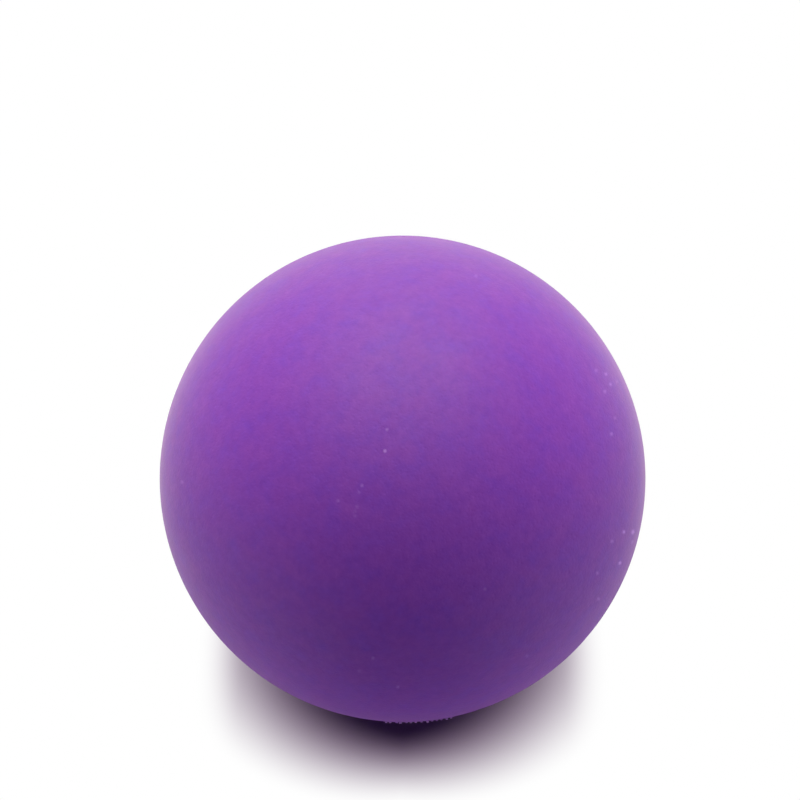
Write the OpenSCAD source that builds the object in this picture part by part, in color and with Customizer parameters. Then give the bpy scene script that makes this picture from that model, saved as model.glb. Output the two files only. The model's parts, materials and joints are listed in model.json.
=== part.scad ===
// A lacrosse ball of solid rubber: an inner core ball inside two moulded cover
// halves, cured together along one parting line. Millimetres, +Z up, with the
// origin at the ball's centre. The ball rests on its lowest point.

/* [Ball] */
// Diameter over the finished cover
ball_d = 63.5; // [62.7:0.1:64.7]
// Thickness of the moulded cover
cover_wall = 6.75; // [4:0.25:12]
// Cement line between the core and the cover
bond_gap = 0.05; // [0.02:0.01:0.2]

/* [Parting line] */
// Lean of the parting plane from level, down towards the front, in degrees
parting_lean = 39; // [0:1:90]
// Height of the ground-down flash bead above the cover
bead_h = 0.05; // [0.02:0.01:0.12]
// Width of the flash bead across the parting line
bead_w = 0.9; // [0.7:0.05:2]

/* [Torn flash] */
// Number of torn nibs that the grinding left on the bead
nib_count = 14; // [1:1:40]
// Spacing of the nibs along the parting line
nib_pitch = 0.66; // [0.6:0.02:1.5]
// Height of the tallest nib above the cover
nib_h = 0.17; // [0.13:0.01:0.4]
// Width of a nib at its root
nib_root_d = 0.5; // [0.4:0.05:0.6]
// Width of a nib at its torn tip
nib_tip_d = 0.2; // [0.1:0.02:0.3]
// Angle along the parting line from its front to the middle of the nibs
nib_run_angle = 3.9; // [-90:0.1:90]

/* [Hidden] */

// Facets of a full circle in the preview
$fn = 180;

cover_colour = "#8E45B7";
core_colour = "#3A3540";

// How much of its height and of its spacing a nib may lose to the tearing
nib_height_loss_share = 0.35;
nib_spacing_share = 0.14;
// Turn from one nib to the next in the pattern that makes them uneven
golden_angle = 137.5;

ball_r = ball_d / 2;
cup_bore_d = ball_d - 2 * cover_wall;
core_d = cup_bore_d - 2 * bond_gap;

// The bead's arc stands bead_h over the ball and meets it bead_w apart
bead_edge_r = sqrt(ball_r * ball_r - bead_w * bead_w / 4);
bead_rise = ball_r + bead_h - bead_edge_r;
bead_arc_r = (bead_w * bead_w / 4 + bead_rise * bead_rise) / (2 * bead_rise);
bead_centre_r = ball_r + bead_h - bead_arc_r;

// Each nib's root is as deep in the cover as it is wide
nib_root_r = ball_r - nib_root_d;
nib_step_angle = 360 * nib_pitch / (PI * ball_d);

// Place of nib i along the parting line, and its height over the cover
function nib_angle(i) =
    nib_run_angle
    + nib_step_angle * (i - (nib_count - 1) / 2)
    + nib_step_angle * nib_spacing_share * sin(golden_angle * (2 * i + 1));
function nib_height(i) =
    nib_h * (1 - nib_height_loss_share * pow(sin(golden_angle * i), 2));

// Turns the mould's frame, whose parting plane is level, to the way the ball lies
module lean() {
    rotate([parting_lean, 0, 0]) children();
}

// Section through one cover half: the cup's wall with its half of the bead
module cup_section() {
    intersection() {
        difference() {
            union() {
                circle(d = ball_d);
                translate([bead_centre_r, 0]) circle(r = bead_arc_r);
            }
            circle(d = cup_bore_d);
        }
        square(ball_d);
    }
}

// One torn stub of flash, standing out of the parting line
module nib(height) {
    translate([nib_root_r, 0, 0])
        rotate([0, 90, 0])
            cylinder(h = nib_root_d + height, d1 = nib_root_d, d2 = nib_tip_d, $fn = 24);
}

// The run of nibs at the front of the parting line
module torn_flash() {
    for (i = [0 : nib_count - 1])
        rotate([0, 0, nib_angle(i) - 90]) nib(nib_height(i));
}

// The cup on the pole's side of the parting plane, with its half of every nib
module cover_half() {
    rotate_extrude() cup_section();
    intersection() {
        torn_flash();
        translate([-ball_d, -ball_d, 0]) cube([2 * ball_d, 2 * ball_d, ball_d]);
    }
}

module core() {
    color(core_colour) lean() sphere(d = core_d);
}

module upper_cover_half() {
    color(cover_colour) lean() cover_half();
}

module lower_cover_half() {
    color(cover_colour) lean() mirror([0, 0, 1]) cover_half();
}

core();
upper_cover_half();
lower_cover_half();
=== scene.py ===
"""A lacrosse ball of solid rubber, dressed and lit for a picture on a white studio floor.

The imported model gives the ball's size and place. Two cover shells with a moulded surface stand for its
plain cover halves, the torn flash stands on their parting line, and the core keeps its own shape.
Everything is in metres, with +Z up and the origin at the ball's centre.
"""

import json
import logging
import math
from dataclasses import dataclass
from enum import Enum
from typing import Any

import bpy
from bpy.types import Material, Node, NodeTree, Object
from bpy.types import NodeSocket as Socket
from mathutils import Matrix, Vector


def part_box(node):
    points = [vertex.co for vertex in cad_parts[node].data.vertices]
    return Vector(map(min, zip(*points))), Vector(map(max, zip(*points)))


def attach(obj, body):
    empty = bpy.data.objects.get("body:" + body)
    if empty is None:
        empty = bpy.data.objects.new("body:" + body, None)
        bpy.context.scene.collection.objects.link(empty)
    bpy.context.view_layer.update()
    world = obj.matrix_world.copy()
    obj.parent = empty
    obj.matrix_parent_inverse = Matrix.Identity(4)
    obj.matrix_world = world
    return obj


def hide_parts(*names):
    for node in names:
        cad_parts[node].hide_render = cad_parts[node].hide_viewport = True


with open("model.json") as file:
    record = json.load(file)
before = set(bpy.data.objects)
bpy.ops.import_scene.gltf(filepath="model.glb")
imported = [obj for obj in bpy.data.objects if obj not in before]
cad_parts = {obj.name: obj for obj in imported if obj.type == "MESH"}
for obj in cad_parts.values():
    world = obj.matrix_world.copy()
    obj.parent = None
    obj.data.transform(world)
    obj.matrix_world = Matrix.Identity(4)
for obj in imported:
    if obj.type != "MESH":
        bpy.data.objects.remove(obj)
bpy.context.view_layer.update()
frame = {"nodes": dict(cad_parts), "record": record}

MM = 0.001
BODY = "root"
LOG = logging.getLogger("lacrosse_ball")

Pair = tuple[float, float]
Colour = tuple[float, float, float]
WHITE: Colour = (1.0, 1.0, 1.0)
BLACK: Colour = (0.0, 0.0, 0.0)

# The gridded cube that each cover half is bent from reaches from -1 to 1.
CUBE_SIDE = 2.0


class Graph:
    """Builds one node tree: adds nodes, fills their sockets and links them."""

    def __init__(self, tree: NodeTree) -> None:
        """Takes the tree that the nodes go into."""
        self.tree = tree

    def add(self, kind: str, sockets: dict[Any, Any] | None = None, **settings: Any) -> Node:
        """Adds a node.

        Args:
            kind: Blender's name for the type of node.
            sockets: Each input's name or number, with its value or the output that feeds it.
            settings: The node's own properties, such as its operation.

        Returns:
            The new node.
        """
        node = self.tree.nodes.new(kind)
        for name, value in settings.items():
            setattr(node, name, value)
        for name, value in (sockets or {}).items():
            self.feed(node.inputs[name], value)
        return node

    def out(self, kind: str, sockets: dict[Any, Any] | None = None, **settings: Any) -> Socket:
        """Adds a node and returns its first output."""
        return self.add(kind, sockets, **settings).outputs[0]

    def feed(self, socket: Socket, value: Any) -> None:
        """Links an output to a socket, or gives the socket a plain value.

        Args:
            socket: The input to feed.
            value: An output, or a plain value of the socket's own type.
        """
        if isinstance(value, Socket):
            self.tree.links.new(value, socket)
        elif socket.type == "RGBA" and len(value) == 3:
            socket.default_value = (*value, 1.0)
        else:
            socket.default_value = value

    def use(self, tree: NodeTree, sockets: dict[str, Any]) -> Node:
        """Adds a node that stands for a node group, and feeds its inputs."""
        return self.add("ShaderNodeGroup", sockets, node_tree=tree)

    def math(self, operation: str, *values: Any, clamp: bool = False) -> Socket:
        """Adds a Math node on up to three values and returns its result."""
        return self.out("ShaderNodeMath", dict(enumerate(values)), operation=operation, use_clamp=clamp)

    def times(self, first: Any, second: Any) -> Socket:
        """Returns one number times another."""
        return self.math("MULTIPLY", first, second)

    def vector(self, operation: str, *values: Any) -> Socket:
        """Adds a Vector Math node on up to three values and returns its result."""
        node = self.add("ShaderNodeVectorMath", dict(enumerate(values)), operation=operation)
        return node.outputs["Value" if operation in ("DOT_PRODUCT", "LENGTH") else "Vector"]

    def scaled(self, vector: Socket, factor: Any) -> Socket:
        """Returns a vector times a number."""
        return self.out("ShaderNodeVectorMath", {"Vector": vector, "Scale": factor}, operation="SCALE")

    def tilted(self, vector: Socket, angle: Any) -> Socket:
        """Returns a vector turned about the X axis."""
        sockets = {"Vector": vector, "Angle": angle}
        return self.out("ShaderNodeVectorRotate", sockets, rotation_type="X_AXIS")

    def ramp(
        self, value: Socket, start: Any, end: Any, low: Any = 0.0, high: Any = 1.0, smooth: bool = False
    ) -> Socket:
        """Adds a change from one level to another.

        Args:
            value: What the change follows.
            start: The value at which it starts.
            end: The value at which it ends.
            low: The level at the start.
            high: The level at the end.
            smooth: Whether the change eases in and out.

        Returns:
            The level.
        """
        sockets = {"Value": value, "From Min": start, "From Max": end, "To Min": low, "To Max": high}
        kind = "SMOOTHSTEP" if smooth else "LINEAR"
        return self.out("ShaderNodeMapRange", sockets, interpolation_type=kind)

    def noise(self, vector: Socket, size: Any, detail: float = 2.0, roughness: float = 0.5) -> Socket:
        """Adds soft noise from 0 to 1.

        Args:
            vector: The place.
            size: About how wide its lumps are.
            detail: How many finer layers lie on the lumps.
            roughness: How strong the finer layers are.

        Returns:
            The noise.
        """
        scale = self.math("DIVIDE", 1.0, size)
        sockets = {"Vector": vector, "Scale": scale, "Detail": detail, "Roughness": roughness}
        return self.add("ShaderNodeTexNoise", sockets).outputs["Fac"]

    def mix(self, factor: Any, first: Any, second: Any) -> Socket:
        """Mixes two colours.

        Args:
            factor: 0 for the first colour and 1 for the second.
            first: The first colour.
            second: The second colour.

        Returns:
            The mixed colour.
        """
        node = self.add("ShaderNodeMix", data_type="RGBA")
        for name, value in (("Factor_Float", factor), ("A_Color", first), ("B_Color", second)):
            self.feed(next(s for s in node.inputs if s.identifier == name), value)
        return next(s for s in node.outputs if s.identifier == "Result_Color")


class Group(Graph):
    """A node group with named inputs and outputs."""

    def __init__(
        self, name: str, inputs: dict[str, str], outputs: dict[str, str], kind: str = "ShaderNodeTree"
    ) -> None:
        """Makes an empty group.

        Args:
            name: The group's name.
            inputs: Each input's name with its type, such as Float.
            outputs: Each output's name with its type.
            kind: Blender's name for the type of tree.
        """
        super().__init__(bpy.data.node_groups.new(name, kind))
        for in_out, sockets in (("INPUT", inputs), ("OUTPUT", outputs)):
            for socket_name, socket_type in sockets.items():
                kind_name = "NodeSocket" + socket_type
                self.tree.interface.new_socket(socket_name, in_out=in_out, socket_type=kind_name)
        self.inputs = self.tree.nodes.new("NodeGroupInput").outputs
        self.results = self.tree.nodes.new("NodeGroupOutput").inputs

    def __getitem__(self, name: str) -> Socket:
        """Returns the group's input with that name."""
        return self.inputs[name]

    def give(self, **values: Any) -> None:
        """Feeds the group's outputs, named with underscores for spaces."""
        for name, value in values.items():
            self.feed(self.results[name.replace("_", " ")], value)


class ShapeTree(Group):
    """A Geometry Nodes tree that grows one piece from named sizes."""

    def __init__(self, name: str, values: dict[str, int | float]) -> None:
        """Makes a tree whose inputs are the named sizes and a material.

        Args:
            name: The tree's name.
            values: Each size's name with its value, which shows whether it is a count or a length.
        """
        sizes = {size: "Int" if isinstance(value, int) else "Float" for size, value in values.items()}
        inputs = {"Geometry": "Geometry", **sizes, "Material": "Material"}
        super().__init__(name, inputs, {"Geometry": "Geometry"}, "GeometryNodeTree")

    def end(self, geometry: Socket) -> None:
        """Closes the tree: everything becomes real geometry and takes the material.

        Args:
            geometry: The finished shape.
        """
        real = self.out("GeometryNodeRealizeInstances", {"Geometry": geometry})
        sockets = {"Geometry": real, "Material": self["Material"]}
        self.give(Geometry=self.out("GeometryNodeSetMaterial", sockets))

    def grow(self, name: str, values: dict[str, Any]) -> Object:
        """Evaluates the tree once and keeps its result as a plain mesh.

        Args:
            name: The new piece's name.
            values: A value for each named input.

        Returns:
            The piece, with its place in its mesh.
        """
        seed = bpy.data.objects.new(name + "_seed", bpy.data.meshes.new(name + "_seed"))
        bpy.context.scene.collection.objects.link(seed)
        modifier = seed.modifiers.new("shape", "NODES")
        modifier.node_group = self.tree
        for item in self.tree.interface.items_tree:
            if item.in_out == "INPUT" and item.name in values:
                modifier[item.identifier] = values[item.name]
        depsgraph = bpy.context.evaluated_depsgraph_get()
        mesh = bpy.data.meshes.new_from_object(seed.evaluated_get(depsgraph))
        mesh.name = name
        bpy.data.objects.remove(seed)
        piece = bpy.data.objects.new(name, mesh)
        bpy.context.scene.collection.objects.link(piece)
        return piece


@dataclass(frozen=True)
class BallSizes:
    """The ball's main sizes in metres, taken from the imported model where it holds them."""

    radius: float
    bore_radius: float
    bead_height: float
    bead_width: float = 0.9 * MM
    bond_line: float = 0.05 * MM
    parting_lean: float = math.radians(39.0)

    @classmethod
    def from_frame(cls) -> "BallSizes":
        """Reads the radii and the bead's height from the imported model.

        Returns:
            The ball's sizes.
        """
        rest = next(m for m in frame["record"]["mounts"] if m["name"] == "table_rest")
        radius = -rest["pos_m"][2]
        return cls(
            radius=radius,
            bore_radius=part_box("core")[1].x + cls.bond_line,
            bead_height=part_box("upper_cover_half")[1].x - radius,
        )

    @property
    def pole(self) -> Vector:
        """The direction square to the parting plane, on the upper half's side."""
        return Vector((0.0, -math.sin(self.parting_lean), math.cos(self.parting_lean)))


@dataclass(frozen=True)
class StudioCamera:
    """The camera: where it stands, and where the photograph's frame has the ball."""

    elevation: float = math.radians(45.0)
    distance: float = 0.30
    frame_px: float = 800.0
    ball_px: Pair = (402.66, 477.7)
    ball_radius_px: float = 242.78
    sensor: float = 36.0
    clip_start: float = 10.0 * MM

    def focal_px(self, ball_radius: float) -> float:
        """Returns the focal length in pixels at which the ball has its size in the frame."""
        return self.ball_radius_px * math.sqrt(self.distance**2 - ball_radius**2) / ball_radius

    def place(self, ball_radius: float) -> Object:
        """Makes the camera and hands it to the scene.

        Args:
            ball_radius: The ball's radius in metres.

        Returns:
            The camera object.
        """
        focal = self.focal_px(ball_radius)
        data = bpy.data.cameras.new("studio_camera")
        data.sensor_width = self.sensor
        data.lens = focal / self.frame_px * self.sensor
        data.clip_start = self.clip_start
        camera = bpy.data.objects.new("studio_camera", data)
        bpy.context.scene.collection.objects.link(camera)
        bpy.context.scene.camera = camera
        away = Vector((0.0, -math.cos(self.elevation), math.sin(self.elevation)))
        camera.location = away * self.distance
        look_down = self.elevation - math.atan((self.ball_px[1] - self.frame_px / 2) / focal)
        pan = math.atan((self.ball_px[0] - self.frame_px / 2) / focal) / math.cos(look_down)
        camera.rotation_euler = (math.pi / 2 - look_down, 0.0, pan)
        bpy.context.view_layer.update()
        return camera

    def point_on_ball(
        self, camera: Object, x_px: float, y_px: float, radius: float
    ) -> tuple[Vector, Vector]:
        """Finds what a pixel of the photograph's frame shows.

        Args:
            camera: The placed camera.
            x_px: The pixel's column.
            y_px: The pixel's row.
            radius: The ball's radius in metres.

        Returns:
            The point of the ball, and the direction of sight to it.
        """
        half = self.frame_px / 2
        ray = Vector((x_px - half, half - y_px, -self.focal_px(radius)))
        ray = (camera.matrix_world.to_quaternion() @ ray).normalized()
        start = camera.matrix_world.translation
        along = -start.dot(ray)
        reach = max(radius**2 - (start.length_squared - along**2), 0.0)
        return start + ray * (along - math.sqrt(reach)), ray


@dataclass(frozen=True)
class Speck:
    """A pale dust speck, by its pixel in the photograph's frame, its width and its strength."""

    x_px: float
    y_px: float
    width: float
    strength: float


SpeckPoint = tuple[Vector, Vector, Speck]
SPECKS = (
    Speck(387, 429.5, 0.5 * MM, 0.35),
    Speck(385, 451, 0.5 * MM, 0.7),
    Speck(362, 485.5, 0.5 * MM, 0.35),
    Speck(359, 492.5, 0.5 * MM, 0.2),
    Speck(338, 501, 0.6 * MM, 0.25),
    Speck(357, 506.5, 0.6 * MM, 0.2),
    Speck(355, 511.5, 0.6 * MM, 0.15),
    Speck(355, 516, 0.6 * MM, 0.15),
    Speck(359.5, 671, 0.6 * MM, 0.15),
    Speck(373, 658, 0.5 * MM, 0.3),
    Speck(398, 687, 0.5 * MM, 0.4),
    Speck(485, 589, 0.5 * MM, 0.25),
    Speck(527, 656, 0.6 * MM, 0.25),
    Speck(476, 276, 0.6 * MM, 0.15),
    Speck(182, 482, 0.6 * MM, 0.25),
    Speck(596, 370.5, 0.6 * MM, 0.25),
    Speck(606, 374, 0.6 * MM, 0.45),
    Speck(617, 381.5, 0.6 * MM, 0.2),
    Speck(610.5, 384.5, 0.6 * MM, 0.4),
    Speck(605, 391.5, 0.6 * MM, 0.35),
    Speck(615, 418, 0.6 * MM, 0.25),
    Speck(611.5, 434, 0.6 * MM, 0.4),
    Speck(624, 532, 0.6 * MM, 0.7),
    Speck(633, 532, 0.8 * MM, 0.8),
    Speck(612, 541.5, 0.6 * MM, 0.35),
    Speck(632.5, 542, 0.7 * MM, 0.3),
    Speck(620, 563, 0.6 * MM, 0.9),
    Speck(597.5, 573, 0.6 * MM, 0.3),
    Speck(598.5, 599, 0.6 * MM, 0.35),
)


@dataclass
class RubberGroups:
    """The shading effects that the rubbers share, each built once as a node group."""

    sizes: BallSizes
    speck_points: list[SpeckPoint]
    grain_detail: float = 3.0
    grain_roughness: float = 0.6
    pit_reach: float = 0.35
    cloud_detail: float = 4.0
    cloud_roughness: float = 0.65
    cloud_middle: float = 0.5
    cloud_warm: float = 0.8
    cloud_cool: float = 0.2
    fleck_detail: float = 4.0
    fleck_roughness: float = 0.7
    speck_edge_share: float = 0.8
    speck_core_share: float = 0.3
    speck_length_share: float = 0.3
    ragged_share: float = 0.5
    ragged_size: float = 0.12 * MM
    sparse_from: float = 0.7
    sparse_core_share: float = 0.4
    wander_size: float = 1.5 * MM
    scratch_size: float = 0.09 * MM
    scratch_stretch: tuple[float, float, float] = (1.0, 1.0, 0.12)

    def __post_init__(self) -> None:
        """Builds the groups."""
        self.grain = self._grain()
        self.mottle = self._mottle()
        self.speck = self._speck()
        self.dust = self._dust()
        self.seam = self._seam()

    def _grain(self) -> NodeTree:
        """Builds the fine matte grain with its small pits.

        Returns:
            The group, which gives a height from 0 to 1.
        """
        floats = dict.fromkeys(("Grain Size", "Pit Size", "Pit Share"), "Float")
        g = Group("rubber_grain", {"Vector": "Vector", **floats}, {"Height": "Float"})
        fine = g.noise(g["Vector"], g["Grain Size"], self.grain_detail, self.grain_roughness)
        scale = g.math("DIVIDE", 1.0, g["Pit Size"])
        cells = g.add("ShaderNodeTexVoronoi", {"Vector": g["Vector"], "Scale": scale})
        pits = g.ramp(cells.outputs["Distance"], 0.0, self.pit_reach)
        share = g["Pit Share"]
        kept = g.times(fine, g.math("SUBTRACT", 1.0, share))
        g.give(Height=g.math("ADD", kept, g.times(pits, share)))
        return g.tree

    def _mottle(self) -> NodeTree:
        """Builds the faint warm and cool clouds, and the finer flecks, in a rubber's colour.

        Returns:
            The group, which gives the colour.
        """
        vectors = dict.fromkeys(("Vector", "Fleck Contrast"), "Vector")
        colours = dict.fromkeys(("Colour", "Warm Colour", "Cool Colour"), "Color")
        floats = dict.fromkeys(("Patch Size", "Amount", "Fleck Size"), "Float")
        g = Group("rubber_mottle", {**vectors, **colours, **floats}, {"Colour": "Color"})
        vector = g["Vector"]
        broad = g.noise(vector, g["Patch Size"], self.cloud_detail, self.cloud_roughness)
        warm, cool = (
            g.times(g.ramp(broad, self.cloud_middle, full), g["Amount"])
            for full in (self.cloud_warm, self.cloud_cool)
        )
        colour = g.mix(warm, g["Colour"], g["Warm Colour"])
        colour = g.mix(cool, colour, g["Cool Colour"])
        flecks = g.noise(vector, g["Fleck Size"], self.fleck_detail, self.fleck_roughness)
        centred = g.math("SUBTRACT", flecks, 0.5)
        shade = g.vector("MULTIPLY_ADD", centred, g["Fleck Contrast"], WHITE)
        g.give(Colour=g.vector("MULTIPLY", colour, shade))
        return g.tree

    def _speck(self) -> NodeTree:
        """Builds one ragged speck, where the surface runs through a long thin drop.

        Returns:
            The group, which gives the speck's mask.
        """
        vectors = dict.fromkeys(("Vector", "Place", "Along"), "Vector")
        floats = dict.fromkeys(("Width", "Length Share", "Strength", "Ragged"), "Float")
        g = Group("dust_speck", {**vectors, **floats}, {"Mask": "Float"})
        offset = g.vector("SUBTRACT", g["Vector"], g["Place"])
        depth = g.vector("DOT_PRODUCT", offset, g["Along"])
        length = g.vector("LENGTH", offset)
        squared = g.math("SUBTRACT", g.times(length, length), g.times(depth, depth))
        drawn = g.times(depth, g["Length Share"])
        squared = g.math("MULTIPLY_ADD", drawn, drawn, g.math("MAXIMUM", squared, 0.0))
        width = g["Width"]
        rough = g.times(g["Ragged"], g.times(width, self.ragged_share))
        uneven = g.math("ADD", g.math("SQRT", squared), rough)
        edge = g.times(width, self.speck_edge_share)
        core = g.times(width, self.speck_core_share)
        g.give(Mask=g.ramp(uneven, edge, core, 0.0, g["Strength"]))
        return g.tree

    def _dust(self) -> NodeTree:
        """Builds the pale dust: the specks that the photograph shows, and sparse finer ones all round.

        Returns:
            The group, which gives the dust's mask.
        """
        floats = dict.fromkeys(("Spacing", "Sparse Width", "Sparse Strength"), "Float")
        g = Group("dust_specks", {"Vector": "Vector", **floats}, {"Mask": "Float"})
        vector = g["Vector"]
        ragged = g.noise(vector, self.ragged_size, detail=1.0)
        mask: Any = 0.0
        for point, along, speck in self.speck_points:
            sockets = {
                "Vector": vector,
                "Place": tuple(point),
                "Along": tuple(along),
                "Width": speck.width,
                "Length Share": self.speck_length_share,
                "Strength": speck.strength,
                "Ragged": ragged,
            }
            spot = g.use(self.speck, sockets).outputs["Mask"]
            mask = g.math("MAXIMUM", mask, spot)
        scale = g.math("DIVIDE", 1.0, g["Spacing"])
        cells = g.add("ShaderNodeTexVoronoi", {"Vector": vector, "Scale": scale})
        distance = g.times(cells.outputs["Distance"], g["Spacing"])
        chosen = g.add("ShaderNodeSeparateColor", {"Color": cells.outputs["Color"]}).outputs["Red"]
        width = g.times(g["Sparse Width"], g.ramp(chosen, self.sparse_from, 1.0))
        core = g.times(width, self.sparse_core_share)
        spot = g.ramp(distance, width, core, 0.0, g["Sparse Strength"])
        spot = g.times(spot, g.math("GREATER_THAN", chosen, self.sparse_from))
        g.give(Mask=g.math("MAXIMUM", mask, spot))
        return g.tree

    def _seam(self) -> NodeTree:
        """Builds the ground band along the parting line.

        Returns:
            The group, which gives the band's mask and the fine scratches across it.
        """
        inputs = {"Vector": "Vector", "Band Width": "Float"}
        outputs = {"Mask": "Float", "Scratches": "Float"}
        g = Group("seam_wear", inputs, outputs)
        vector = g["Vector"]
        off_plane = g.vector("DOT_PRODUCT", vector, tuple(self.sizes.pole))
        distance = g.math("ABSOLUTE", off_plane)
        wander = g.times(g.noise(vector, self.wander_size), g["Band Width"])
        mask = g.ramp(g.math("ADD", distance, wander), g["Band Width"], 0.0)
        level = g.tilted(vector, -self.sizes.parting_lean)
        streaks = g.vector("MULTIPLY", level, self.scratch_stretch)
        g.give(Mask=mask, Scratches=g.noise(streaks, self.scratch_size))
        return g.tree


@dataclass(frozen=True)
class CoverRubber:
    """The matte purple rubber of the cover, with its grain, faint clouds, dust and ground seam.

    Rubber further out than tip_start turns pale, fully so at tip_full. Their plain values are far
    outside the ball.
    """

    name: str = "cover_rubber"
    colour: Colour = (0.238, 0.042, 0.491)
    warm: Colour = (0.281, 0.050, 0.483)
    cool: Colour = (0.203, 0.041, 0.538)
    cloud_size: float = 3.0 * MM
    cloud_amount: float = 1.0
    fleck_size: float = 1.1 * MM
    fleck_contrast: Colour = (0.37, 0.90, 0.27)
    dust: Colour = (0.58, 0.27, 0.85)
    dust_spacing: float = 2.6 * MM
    dust_width: float = 0.12 * MM
    dust_strength: float = 0.1
    ground: Colour = (0.33, 0.13, 0.52)
    ground_width: float = 1.0 * MM
    ground_amount: float = 0.35
    tip: Colour = (0.64, 0.44, 0.72)
    tip_start: float = 1.0
    tip_full: float = 1.0
    roughness: float = 0.66
    roughness_swing: float = 0.04
    patch_size: float = 4.0 * MM
    patch_detail: float = 3.0
    patch_range: Pair = (0.25, 0.75)
    specular: float = 0.48
    sheen: float = 0.34
    sheen_tint: Colour = (1.0, 0.76, 0.93)
    sheen_roughness: float = 0.36
    grain_size: float = 0.34 * MM
    grain_depth: float = 0.045 * MM
    pit_size: float = 0.6 * MM
    pit_share: float = 0.3

    def make(self, groups: RubberGroups) -> Material:
        """Builds the material.

        Args:
            groups: The node groups that the rubbers share.

        Returns:
            The finished material.
        """
        material = bpy.data.materials.new(self.name)
        material.use_nodes = True
        g = Graph(material.node_tree)
        shader = material.node_tree.nodes["Principled BSDF"]
        vector = g.add("ShaderNodeTexCoord").outputs["Object"]
        g.feed(shader.inputs["Base Color"], self._colour(g, groups, vector))
        shader.inputs["Specular IOR Level"].default_value = self.specular
        shader.inputs["Sheen Weight"].default_value = self.sheen
        shader.inputs["Sheen Tint"].default_value = (*self.sheen_tint, 1.0)
        shader.inputs["Sheen Roughness"].default_value = self.sheen_roughness
        patches = g.noise(vector, self.patch_size, self.patch_detail)
        smoothest = self.roughness - self.roughness_swing
        roughest = self.roughness + self.roughness_swing
        g.feed(shader.inputs["Roughness"], g.ramp(patches, *self.patch_range, smoothest, roughest))
        g.feed(shader.inputs["Normal"], self._normal(g, groups, vector))
        return material

    def _colour(self, g: Graph, groups: RubberGroups, vector: Socket) -> Socket:
        """Builds the rubber's colour over the surface.

        Args:
            g: The material's graph.
            groups: The node groups that the rubbers share.
            vector: The place on the ball.

        Returns:
            The colour.
        """
        sockets = {
            "Vector": vector,
            "Colour": self.colour,
            "Warm Colour": self.warm,
            "Cool Colour": self.cool,
            "Patch Size": self.cloud_size,
            "Amount": self.cloud_amount,
            "Fleck Size": self.fleck_size,
            "Fleck Contrast": self.fleck_contrast,
        }
        colour = g.use(groups.mottle, sockets).outputs["Colour"]
        seam = g.use(groups.seam, {"Vector": vector, "Band Width": self.ground_width})
        worn = g.times(seam.outputs["Mask"], self.ground_amount)
        colour = g.mix(worn, colour, self.ground)
        reach = g.vector("LENGTH", vector)
        colour = g.mix(g.ramp(reach, self.tip_start, self.tip_full), colour, self.tip)
        sockets = {
            "Vector": vector,
            "Spacing": self.dust_spacing,
            "Sparse Width": self.dust_width,
            "Sparse Strength": self.dust_strength,
        }
        dust = g.use(groups.dust, sockets).outputs["Mask"]
        return g.mix(dust, colour, self.dust)

    def _normal(self, g: Graph, groups: RubberGroups, vector: Socket) -> Socket:
        """Builds the relief that the grain and the seam's scratches give.

        Args:
            g: The material's graph.
            groups: The node groups that the rubbers share.
            vector: The place on the ball.

        Returns:
            The normal.
        """
        sizes = {"Grain Size": self.grain_size, "Pit Size": self.pit_size, "Pit Share": self.pit_share}
        grain = g.use(groups.grain, {"Vector": vector, **sizes}).outputs["Height"]
        seam = g.use(groups.seam, {"Vector": vector, "Band Width": self.ground_width})
        scratches = g.times(seam.outputs["Scratches"], seam.outputs["Mask"])
        height = g.math("ADD", grain, scratches)
        return g.out("ShaderNodeBump", {"Height": height, "Distance": self.grain_depth})


@dataclass(frozen=True)
class CoreRubber:
    """The dark filled rubber of the core, made of crumbs of slightly different shades."""

    name: str = "core_rubber"
    dark: Colour = (0.030, 0.026, 0.034)
    light: Colour = (0.075, 0.064, 0.082)
    roughness: float = 0.75
    crumb_size: float = 1.1 * MM
    cloud_size: float = 6.0 * MM
    cloud_amount: float = 0.4
    fleck_size: float = 0.5 * MM
    fleck_contrast: Colour = (0.4, 0.4, 0.4)
    grain_size: float = 0.3 * MM
    grain_depth: float = 0.05 * MM
    pit_share: float = 0.6

    def make(self, groups: RubberGroups) -> Material:
        """Builds the material from the shared groups and its own crumbs.

        Args:
            groups: The node groups that the rubbers share.

        Returns:
            The finished material.
        """
        material = bpy.data.materials.new(self.name)
        material.use_nodes = True
        g = Graph(material.node_tree)
        shader = material.node_tree.nodes["Principled BSDF"]
        vector = g.add("ShaderNodeTexCoord").outputs["Object"]
        cells = g.add("ShaderNodeTexVoronoi", {"Vector": vector, "Scale": 1.0 / self.crumb_size})
        shade = g.add("ShaderNodeSeparateColor", {"Color": cells.outputs["Color"]}).outputs["Red"]
        crumbs = g.mix(shade, self.dark, self.light)
        sockets = {
            "Vector": vector,
            "Colour": crumbs,
            "Warm Colour": self.light,
            "Cool Colour": self.dark,
            "Patch Size": self.cloud_size,
            "Amount": self.cloud_amount,
            "Fleck Size": self.fleck_size,
            "Fleck Contrast": self.fleck_contrast,
        }
        g.feed(shader.inputs["Base Color"], g.use(groups.mottle, sockets).outputs["Colour"])
        shader.inputs["Roughness"].default_value = self.roughness
        sizes = {"Grain Size": self.grain_size, "Pit Size": self.crumb_size, "Pit Share": self.pit_share}
        grain = g.use(groups.grain, {"Vector": vector, **sizes}).outputs["Height"]
        bump = g.out("ShaderNodeBump", {"Height": grain, "Distance": self.grain_depth})
        g.feed(shader.inputs["Normal"], bump)
        return material


class Half(Enum):
    """Which side of the parting plane a cover half is on, as its turn about the X axis."""

    UPPER = 0.0
    LOWER = math.pi


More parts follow.
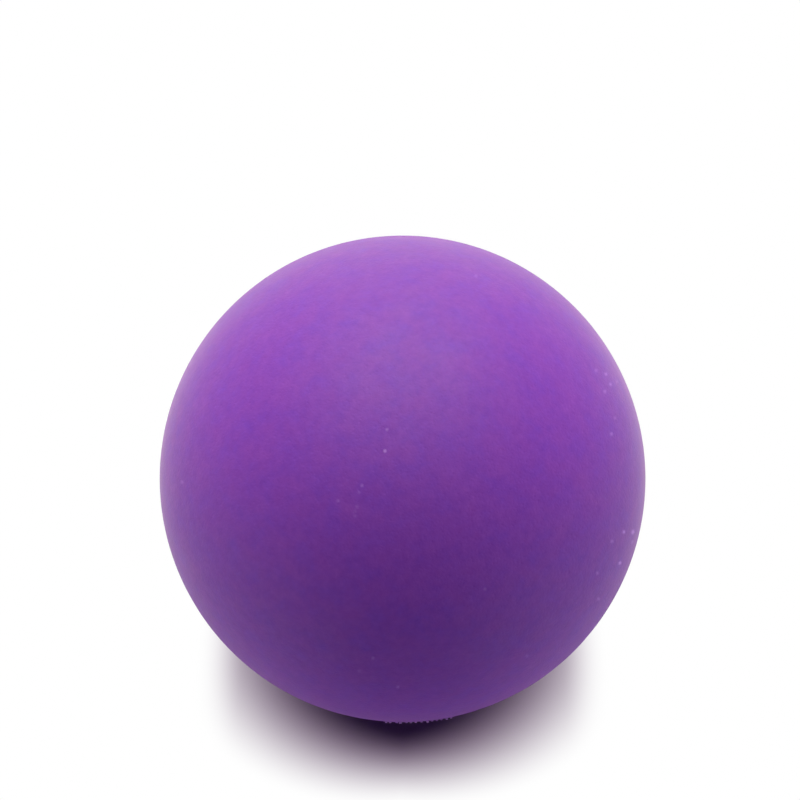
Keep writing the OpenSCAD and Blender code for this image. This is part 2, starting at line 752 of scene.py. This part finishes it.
@dataclass
class CoverHalf:
    """One moulded cup of the cover, from its bore to its finished surface."""

    half: Half
    sizes: BallSizes
    rows: int = 120
    rim_rings: int = 4
    row_crowding: float = 1.35
    knit_depth: float = 0.02 * MM
    knit_width: float = 0.1 * MM
    relief_height: float = 0.006 * MM
    relief_size: float = 2.2 * MM
    relief_detail: float = 3.0
    wave_height: float = 0.012 * MM
    wave_size: float = 11.0 * MM
    grinding_size: float = 3.0 * MM
    grinding_range: Pair = (0.3, 0.7)
    least_bead_share: float = 0.55
    crease: float = math.radians(40.0)

    def values(self) -> dict[str, int | float]:
        """Lists the tree's named sizes.

        Returns:
            Each size's name with its value for this half.
        """
        return {
            "Rows": self.rows,
            "Rim Rings": self.rim_rings,
            "Row Crowding": self.row_crowding,
            "Ball Radius": self.sizes.radius,
            "Bore Radius": self.sizes.bore_radius,
            "Bead Height": self.sizes.bead_height,
            "Bead Width": self.sizes.bead_width,
            "Knit Depth": self.knit_depth,
            "Knit Width": self.knit_width,
            "Relief Height": self.relief_height,
            "Relief Size": self.relief_size,
            "Wave Height": self.wave_height,
            "Wave Size": self.wave_size,
            "Turn": self.half.value,
            "Lean": self.sizes.parting_lean,
        }

    def tree(self) -> ShapeTree:
        """Builds the tree that bends a gridded cube into a closed cup.

        The cube's upper part becomes the outer surface, its next few rows the flat rim, and the rest is
        pushed up inside as the bore.

        Returns:
            The tree, which suits both halves.
        """
        g = ShapeTree("cover_half", self.values())
        corners = g.math("ADD", g["Rows"], 1.0)
        grid = {"Vertices X": corners, "Vertices Y": corners, "Vertices Z": corners}
        cube = g.out("GeometryNodeMeshCube", {"Size": (CUBE_SIDE, CUBE_SIDE, CUBE_SIDE), **grid})
        direction, rim_step = self._directions(g)
        outer = self._outer_radius(g, direction)
        wall = g.math("SUBTRACT", outer, g["Bore Radius"])
        radius = g.math("MULTIPLY_ADD", wall, g.math("SUBTRACT", 1.0, rim_step), g["Bore Radius"])
        placed = g.tilted(g.scaled(direction, radius), g["Lean"])
        cup = g.out("GeometryNodeSetPosition", {"Geometry": cube, "Position": placed})
        smooth = g.out("GeometryNodeSetShadeSmooth", {"Geometry": cup, "Shade Smooth": True})
        fold = g.add("GeometryNodeInputMeshEdgeAngle").outputs["Unsigned Angle"]
        sharp = g.math("GREATER_THAN", fold, self.crease)
        sockets = {"Geometry": smooth, "Selection": sharp, "Shade Smooth": False}
        g.end(g.out("GeometryNodeSetShadeSmooth", sockets, domain="EDGE"))
        return g

    @staticmethod
    def _directions(g: ShapeTree) -> tuple[Socket, Socket]:
        """Turns each point of the cube into a direction from the ball's centre.

        Args:
            g: The half's tree.

        Returns:
            The direction, and how far across the rim the point is, from 0 outside to 1 at the bore.
        """
        place = g.out("GeometryNodeInputPosition")
        x, y, z = g.add("ShaderNodeSeparateXYZ", {0: place}).outputs
        rim_depth = g.math("DIVIDE", g.times(g["Rim Rings"], -CUBE_SIDE), g["Rows"])
        rim_step = g.ramp(z, 0.0, rim_depth)
        upper = g.math("POWER", g.math("MAXIMUM", z, 0.0), g["Row Crowding"])
        climb = g.math("ADD", upper, g.ramp(z, rim_depth, -CUBE_SIDE / 2))
        tangents = [g.math("TANGENT", g.times(c, math.pi / 4)) for c in (x, y, climb)]
        spread = g.out("ShaderNodeCombineXYZ", dict(enumerate(tangents)))
        unit = g.vector("NORMALIZE", spread)
        return g.tilted(unit, g["Turn"]), rim_step

    def _outer_radius(self, g: ShapeTree, direction: Socket) -> Socket:
        """Shapes the finished surface: the ball, its bead, the knit line and the relief.

        Args:
            g: The half's tree.
            direction: The direction from the ball's centre.

        Returns:
            The surface's radius in that direction.
        """
        on_ball = g.scaled(direction, g["Ball Radius"])
        _, _, z = g.add("ShaderNodeSeparateXYZ", {0: on_ball}).outputs
        height = g.math("ABSOLUTE", z)
        half_width = g.math("DIVIDE", g["Bead Width"], 2.0)
        across = g.math("DIVIDE", height, half_width)
        arch = g.math("SUBTRACT", 1.0, g.times(across, across), clamp=True)
        grinding = g.noise(on_ball, self.grinding_size)
        ground = g.ramp(grinding, *self.grinding_range, self.least_bead_share, 1.0)
        bead = g.times(g.times(arch, ground), g["Bead Height"])
        knit = g.ramp(height, 0.0, g["Knit Width"], g["Knit Depth"], 0.0)
        pebbles = g.math("SUBTRACT", g.noise(on_ball, g["Relief Size"], self.relief_detail), 0.5)
        waves = g.math("SUBTRACT", g.noise(on_ball, g["Wave Size"], detail=1.0), 0.5)
        relief = g.times(pebbles, g["Relief Height"])
        swell = g.times(waves, g["Wave Height"])
        radius = g.math("ADD", g["Ball Radius"], g.math("SUBTRACT", bead, knit))
        return g.math("ADD", radius, g.math("ADD", relief, swell))

    def build(self, tree: ShapeTree, material: Material) -> Object:
        """Grows the cup and fits it to the ball.

        Args:
            tree: The tree that both halves share.
            material: The cover's rubber.

        Returns:
            The cup, in place of its plain node.
        """
        side = self.half.name.lower()
        cup = tree.grow(f"{side}_cover_shell", {**self.values(), "Material": material})
        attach(cup, BODY)
        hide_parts(f"{side}_cover_half")
        return cup


class Draw(Enum):
    """Which of a nib's sizes a random number is drawn for, as a step of the seed."""

    PLACE = 0
    WIDTH = 1
    HEIGHT = 2


@dataclass
class TornFlash:
    """The short run of torn flash that the grinding left on the front of the parting line."""

    sizes: BallSizes
    nib_count: int = 14
    nib_pitch: float = 0.66 * MM
    nib_height: float = 0.29 * MM
    nib_sides: int = 14
    nib_rings: int = 14
    tip_rings: int = 3
    root_depth: float = 0.5 * MM
    root_width: float = 0.5 * MM
    tip_width: float = 0.26 * MM
    thickness_share: float = 0.8
    place_shares: Pair = (-0.2, 0.2)
    width_shares: Pair = (0.44, 0.6)
    height_shares: Pair = (0.55, 1.0)
    run_angle: float = math.radians(3.9)
    fin_thickness: float = 0.15 * MM
    fin_steps: int = 160
    fin_sides: int = 10
    tear_size: float = 0.16 * MM
    tear_depth: float = 0.07 * MM
    seed: int = 4

    def values(self) -> dict[str, int | float]:
        """Lists the tree's named sizes.

        Returns:
            Each size's name with its value.
        """
        return {
            "Ball Radius": self.sizes.radius,
            "Lean": self.sizes.parting_lean,
            "Nib Count": self.nib_count,
            "Nib Pitch": self.nib_pitch,
            "Nib Height": self.nib_height,
            "Root Depth": self.root_depth,
            "Root Width": self.root_width,
            "Tip Share": self.tip_width / self.root_width,
            "Thickness Share": self.thickness_share,
            "Run Angle": self.run_angle,
            "Fin Thickness": self.fin_thickness,
            "Seed": self.seed,
        }

    def tree(self) -> ShapeTree:
        """Builds the tree that stands torn nibs along an arc, on a low fin.

        Returns:
            The tree.
        """
        g = ShapeTree("torn_flash", self.values())
        run = g.add("GeometryNodeJoinGeometry")
        g.feed(run.inputs[0], self._fin(g))
        g.feed(run.inputs[0], self._nibs(g))
        place = g.out("GeometryNodeInputPosition")
        tears = g.add("ShaderNodeTexNoise", {"Vector": place, "Scale": 1.0 / self.tear_size})
        centred = g.vector("SUBTRACT", tears.outputs["Color"], (0.5, 0.5, 0.5))
        torn = g.vector("ADD", place, g.scaled(centred, self.tear_depth))
        sockets = {"Geometry": run.outputs[0], "Position": g.tilted(torn, g["Lean"])}
        moved = g.out("GeometryNodeSetPosition", sockets)
        g.end(g.out("GeometryNodeSetShadeSmooth", {"Geometry": moved}))
        return g

    @staticmethod
    def _random(g: ShapeTree, limits: Pair, draw: Draw) -> Socket:
        """Draws a random number for each nib.

        Args:
            g: The flash's tree.
            limits: The lowest and the highest number.
            draw: What the number is for.

        Returns:
            The number.
        """
        seed = g.math("ADD", g["Seed"], draw.value)
        node = g.add("FunctionNodeRandomValue", {"Seed": seed}, data_type="FLOAT")
        for identifier, value in zip(("Min_001", "Max_001"), limits):
            g.feed(next(s for s in node.inputs if s.identifier == identifier), value)
        return next(s for s in node.outputs if s.identifier == "Value_001")

    def _nibs(self, g: ShapeTree) -> Socket:
        """Stands the nibs in a row, each a tapered lump with its root in the cover.

        Args:
            g: The flash's tree.

        Returns:
            The nibs.
        """
        index = g.out("GeometryNodeInputIndex")
        middle = g.math("DIVIDE", g.math("SUBTRACT", g["Nib Count"], 1.0), 2.0)
        order = g.math("SUBTRACT", index, middle)
        order = g.math("ADD", order, self._random(g, self.place_shares, Draw.PLACE))
        step = g.math("DIVIDE", g["Nib Pitch"], g["Ball Radius"])
        angle = g.math("MULTIPLY_ADD", order, step, g["Run Angle"])
        across = g.math("SINE", angle)
        front = g.times(g.math("COSINE", angle), -1.0)
        outward = g.out("ShaderNodeCombineXYZ", {"X": across, "Y": front})
        foot = g.scaled(outward, g.math("SUBTRACT", g["Ball Radius"], g["Root Depth"]))
        points = g.out("GeometryNodePoints", {"Count": g["Nib Count"], "Position": foot})
        euler = g.out("ShaderNodeCombineXYZ", {"X": math.pi / 2, "Z": angle})
        turn = g.out("FunctionNodeEulerToRotation", {0: euler})
        width = g.times(g["Root Width"], self._random(g, self.width_shares, Draw.WIDTH))
        thick = g.times(width, g["Thickness Share"])
        height = self._random(g, self.height_shares, Draw.HEIGHT)
        tall = g.math("MULTIPLY_ADD", g["Nib Height"], height, g["Root Depth"])
        size = g.out("ShaderNodeCombineXYZ", {"X": width, "Y": thick, "Z": tall})
        sockets = {"Points": points, "Instance": self._nib(g), "Rotation": turn, "Scale": size}
        placed = g.out("GeometryNodeInstanceOnPoints", sockets)
        return g.out("GeometryNodeRealizeInstances", {"Geometry": placed})

    def _nib(self, g: ShapeTree) -> Socket:
        """Makes one blunt nib of unit height and half width, narrower towards its tip.

        Args:
            g: The flash's tree.

        Returns:
            The nib.
        """
        sockets = {
            "Vertices": self.nib_sides,
            "Side Segments": self.nib_rings,
            "Fill Segments": self.tip_rings,
            "Radius Top": g["Tip Share"],
            "Radius Bottom": 1.0,
            "Depth": 1.0,
        }
        return g.out("GeometryNodeMeshCone", sockets)

    def _fin(self, g: ShapeTree) -> Socket:
        """Runs a low fin along the parting line, as long as the row of nibs.

        Args:
            g: The flash's tree.

        Returns:
            The fin.
        """
        step = g.math("DIVIDE", g["Nib Pitch"], g["Ball Radius"])
        sweep = g.times(g["Nib Count"], step)
        start = g.math("SUBTRACT", g["Run Angle"], g.math("MULTIPLY_ADD", sweep, 0.5, math.pi / 2))
        sockets = {
            "Resolution": self.fin_steps,
            "Radius": g["Ball Radius"],
            "Start Angle": start,
            "Sweep Angle": sweep,
        }
        arc = g.out("GeometryNodeCurveArc", sockets)
        thickness = g.math("DIVIDE", g["Fin Thickness"], 2.0)
        sockets = {"Resolution": self.fin_sides, "Radius": thickness}
        profile = g.out("GeometryNodeCurvePrimitiveCircle", sockets)
        sockets = {"Curve": arc, "Profile Curve": profile, "Fill Caps": True}
        return g.out("GeometryNodeCurveToMesh", sockets)

    def build(self, material: Material) -> Object:
        """Grows the run of flash on the parting line.

        Args:
            material: The torn rubber.

        Returns:
            The flash as one piece.
        """
        flash = self.tree().grow("torn_flash", {**self.values(), "Material": material})
        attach(flash, BODY)
        return flash


@dataclass
class Core:
    """The inner ball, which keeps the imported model's own shape."""

    def dress(self, material: Material) -> Object:
        """Gives the core its rubber.

        Args:
            material: The core's rubber.

        Returns:
            The core.
        """
        core = frame["nodes"]["core"]
        core.data.materials.clear()
        core.data.materials.append(material)
        return core


@dataclass
class LacrosseBall:
    """The whole ball: its core, the two halves of its cover and the torn flash."""

    sizes: BallSizes
    specks: list[SpeckPoint]
    pale_height: float = 0.1 * MM

    def build(self) -> list[Object]:
        """Builds and dresses every piece.

        Returns:
            The pieces.
        """
        groups = RubberGroups(self.sizes, self.specks)
        cover = CoverRubber().make(groups)
        radius = self.sizes.radius
        tips = {"tip_start": radius, "tip_full": radius + self.pale_height}
        torn = CoverRubber("torn_rubber", **tips).make(groups)
        halves = [CoverHalf(half, self.sizes) for half in Half]
        tree = halves[0].tree()
        pieces = [half.build(tree, cover) for half in halves]
        pieces.append(TornFlash(self.sizes).build(torn))
        pieces.append(Core().dress(CoreRubber().make(groups)))
        return pieces


@dataclass
class Studio:
    """The white floor, the soft overhead light and the pale surroundings of the ball.

    A heading on the floor goes from -1 in front of the ball to 1 behind it.
    """

    floor_height: float
    floor_size: float = 6.0
    # Painted light for the ball's rays: the floor's colour near the ball and far in front stands for
    # bounce and shade, not for its own colour.
    floor_near_bounce: Colour = (0.72, 0.53, 0.94)
    floor_front_bounce: Colour = (0.04, 0.0, 0.10)
    floor_bounce: Colour = (1.0, 0.93, 1.0)
    # Painted shadow for the eye: the share of the real shade that it shows, and the purple tint of its
    # fade to white.
    floor_shade: Colour = (0.17, 0.165, 0.185)
    painted_shadow_tint: Colour = (0.605, 0.40, 0.62)
    # How bright the floor is painted in the ball's gloss: dark in front, brighter to the sides and
    # behind (painted reflection).
    floor_front_gloss: float = 0.26
    floor_side_gloss: float = 0.62
    floor_back_gloss: float = 1.0
    bounce_reach: Pair = (45.0 * MM, 90.0 * MM)
    front_heading: Pair = (-1.0, -0.75)
    side_heading: Pair = (-0.9, -0.2)
    back_heading: Pair = (0.5, 1.0)
    # How far the painted shadow reaches in front and to the sides, and where it is cut off beside the
    # ball.
    shade_ahead: Pair = (16.7 * MM, 29.5 * MM)
    shade_aside: Pair = (12.5 * MM, 33.2 * MM)
    shade_sides: Pair = (22.0 * MM, 29.0 * MM)
    box_place: tuple[float, float, float] = (-0.01, 0.22, 0.80)
    box_width: float = 0.8
    box_depth: float = 0.9
    box_radiance: float = 4.7
    box_colour: Colour = (1.0, 1.085, 0.855)
    wall_back: Colour = (3.6, 5.9, 1.15)
    wall_left: Colour = (4.2, 1.7, 4.5)
    wall_right: Colour = (3.65, 1.1, 4.6)
    wall_top: float = 0.3
    wall_front: float = -0.8
    wall_full: float = 0.1
    front_fill: Colour = (0.0, 0.0, 0.07)

    def build(self) -> None:
        """Makes the floor, the lights and the world."""
        self._floor()
        self._softbox()
        self._world()

    def _floor(self) -> None:
        """Makes the floor, which shows a painted shadow round the ball and white further out, and
        nothing from below.

        The eye sees a darkened share of the real shade near the ball, inside a painted radial shadow
        that fades to white and is tinted purple in the fade. The ball gets the floor's light back with
        painted light in it: near-black far in front, tinted near the ball, and for its gloss a floor
        painted brighter behind it.
        """
        mesh = bpy.data.meshes.new("studio_floor")
        half = self.floor_size / 2
        ring = ((-half, -half), (half, -half), (half, half), (-half, half))
        mesh.from_pydata([(x, y, self.floor_height) for x, y in ring], [], [(0, 1, 2, 3)])
        floor = bpy.data.objects.new("studio_floor", mesh)
        bpy.context.scene.collection.objects.link(floor)
        material = bpy.data.materials.new("floor_with_painted_shadow")
        material.use_nodes = True
        g = Graph(material.node_tree)
        material.node_tree.nodes.clear()
        place = g.add("ShaderNodeTexCoord").outputs["Object"]
        flat = g.vector("MULTIPLY", place, (1.0, 1.0, 0.0))
        reach = g.vector("LENGTH", flat)
        aside, ahead, _ = g.add("ShaderNodeSeparateXYZ", {0: g.vector("NORMALIZE", flat)}).outputs
        # Painted light: in a wedge ahead of the ball, its rays see the floor painted purple near it and
        # near-black far in front.
        bounce = g.ramp(reach, *self.bounce_reach)
        bounce = g.mix(bounce, self.floor_near_bounce, self.floor_front_bounce)
        bounce = g.mix(g.ramp(ahead, *self.front_heading), bounce, self.floor_bounce)
        aside = g.math("ABSOLUTE", aside)
        side_reach = g.times(aside, reach)
        # Painted shadow: a radial fade from the darkened real shade near the ball to white, shorter at
        # the sides and cut off beside the ball.
        ends = zip(self.shade_ahead, self.shade_aside)
        near, far = (g.ramp(aside, 0.0, 1.0, front, side) for front, side in ends)
        white = g.ramp(reach, near, far, smooth=True)
        sides = g.ramp(side_reach, *self.shade_sides, smooth=True)
        white = g.ramp(sides, 0.0, 1.0, white, 1.0)
        # The white is tinted purple where it fades in: painted shadow colour.
        glow = g.mix(white, self.painted_shadow_tint, WHITE)
        rays = g.add("ShaderNodeLightPath").outputs
        seen = g.math("MAXIMUM", rays["Is Camera Ray"], rays["Is Transmission Ray"])
        white = g.times(white, seen)
        # Painted reflection: glossy rays see the floor painted darker in front of the ball and brighter
        # behind it.
        gloss = g.ramp(ahead, *self.side_heading, self.floor_front_gloss, self.floor_side_gloss)
        gloss = g.ramp(ahead, *self.back_heading, gloss, self.floor_back_gloss)
        bounce = g.mix(rays["Is Glossy Ray"], bounce, gloss)
        # The eye sees the real shade darkened to a small share of itself: painted shade.
        colour = g.mix(seen, bounce, self.floor_shade)
        paint = g.out("ShaderNodeBsdfDiffuse", {"Color": colour})
        plain = g.out("ShaderNodeEmission", {"Color": glow, "Strength": 1.0})
        both = g.out("ShaderNodeMixShader", {0: white, 1: paint, 2: plain})
        underside = g.add("ShaderNodeNewGeometry").outputs["Backfacing"]
        clear = g.out("ShaderNodeBsdfTransparent")
        surface = g.out("ShaderNodeMixShader", {0: underside, 1: both, 2: clear})
        g.add("ShaderNodeOutputMaterial", {"Surface": surface})
        mesh.materials.append(material)

    def _softbox(self) -> None:
        """Hangs the large softbox that faces the ball from above, a little behind it."""
        data = bpy.data.lights.new("overhead_softbox", "AREA")
        data.shape = "RECTANGLE"
        data.size = self.box_width
        data.size_y = self.box_depth
        data.energy = self.box_radiance * math.pi * self.box_width * self.box_depth
        data.color = self.box_colour
        light = bpy.data.objects.new("overhead_softbox", data)
        bpy.context.scene.collection.objects.link(light)
        light.location = self.box_place
        light.rotation_mode = "QUATERNION"
        light.rotation_quaternion = (-light.location).to_track_quat("-Z", "Y")

    def _world(self) -> None:
        """Surrounds the ball with low bright walls behind and beside it, and a faintly blue front."""
        world = bpy.data.worlds.new("studio_world")
        bpy.context.scene.world = world
        world.use_nodes = True
        g = Graph(world.node_tree)
        background = world.node_tree.nodes["Background"]
        direction = g.add("ShaderNodeTexCoord").outputs["Generated"]
        side, depth, height = g.add("ShaderNodeSeparateXYZ", {0: direction}).outputs
        low = g.ramp(height, self.wall_top, 0.0)
        behind = g.ramp(depth, self.wall_front, self.wall_full)
        wall = g.mix(g.ramp(side, 0.0, -1.0), self.wall_back, self.wall_left)
        wall = g.mix(g.ramp(side, 0.0, 1.0), wall, self.wall_right)
        front = g.mix(behind, self.front_fill, BLACK)
        glow = g.vector("ADD", g.scaled(wall, g.times(low, behind)), front)
        rays = g.add("ShaderNodeLightPath").outputs
        seen = g.math("MAXIMUM", rays["Is Camera Ray"], rays["Is Transmission Ray"])
        g.feed(background.inputs["Color"], g.mix(seen, glow, WHITE))


def main() -> None:
    """Builds the studio and the ball, and logs each piece."""
    logging.basicConfig(level=logging.INFO, format="%(name)s: %(message)s")
    bpy.context.scene.view_settings.view_transform = "Standard"
    sizes = BallSizes.from_frame()
    rig = StudioCamera()
    camera = rig.place(sizes.radius)
    specks = [(*rig.point_on_ball(camera, s.x_px, s.y_px, sizes.radius), s) for s in SPECKS]
    Studio(floor_height=-sizes.radius).build()
    for piece in LacrosseBall(sizes, specks).build():
        triangles = sum(len(face.vertices) - 2 for face in piece.data.polygons)
        LOG.info("%s: %d triangles", piece.name, triangles)


if __name__ == "__main__":
    main()
